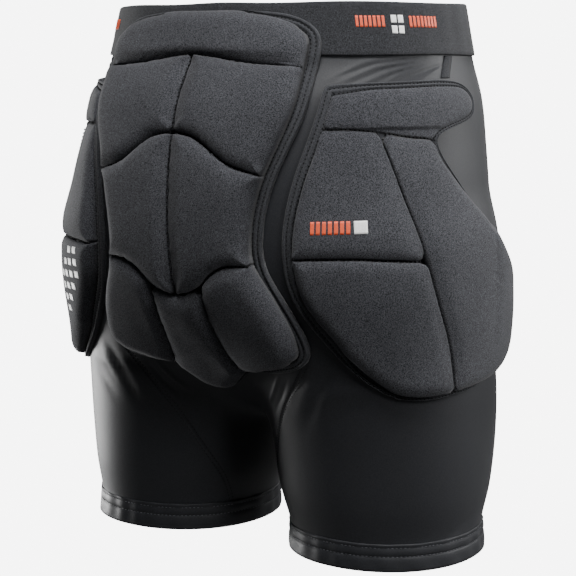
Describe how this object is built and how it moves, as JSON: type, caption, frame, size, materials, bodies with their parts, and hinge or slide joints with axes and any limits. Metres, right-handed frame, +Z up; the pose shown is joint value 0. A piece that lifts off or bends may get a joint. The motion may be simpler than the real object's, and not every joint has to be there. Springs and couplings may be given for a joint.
{
  "type": "padded protective shorts",
  "caption": "Stretch shorts in worn form with a foam-celled tailbone pad at the back and a foam-celled pad over each hip; open at the waist and legs.",
  "frame": {"origin": "centre of the waistband loop at half its height", "axes": "+Z up along the wearer's spine, +X to the wearer's right, -Y to the back, where the tailbone pad is"},
  "size_m": [0.3786, 0.2636, 0.4141],
  "materials": {
    "elastic": "woven elastic webbing, matte",
    "jersey": "nylon and elastane stretch jersey, soft sheen",
    "backing": "laminated knit backing, matte",
    "binding": "folded edge binding with two stitch rows",
    "tricot": "brushed polyester tricot over closed-cell foam"
  },
  "bodies": {
    "root": {"waistband": "elastic", "shell_hip_back_right": "jersey", "shell_hip_front_right": "jersey", "shell_thigh_back_right": "jersey", "shell_thigh_front_right": "jersey", "shell_hip_back_left": "jersey", "shell_hip_front_left": "jersey", "shell_thigh_back_left": "jersey", "shell_thigh_front_left": "jersey", "tail_panel": "backing", "tail_binding": "binding", "tail_cell_top": "tricot", "tail_cell_upper_right": "tricot", "tail_cell_upper_left": "tricot", "tail_cell_middle_right": "tricot", "tail_cell_middle_left": "tricot", "tail_cell_low_right": "tricot", "tail_cell_low_left": "tricot", "tail_cell_tip": "tricot", "hip_panel_right": "backing", "hip_binding_right": "binding", "hip_cell_lobe_right": "tricot", "hip_cell_upper_right": "tricot", "hip_cell_lower_right": "tricot", "hip_cell_side_right": "tricot", "hanger_tape_right": "elastic", "hip_panel_left": "backing", "hip_binding_left": "binding", "hip_cell_lobe_left": "tricot", "hip_cell_upper_left": "tricot", "hip_cell_lower_left": "tricot", "hip_cell_side_left": "tricot", "hanger_tape_left": "elastic"}
  },
  "joints": []
}
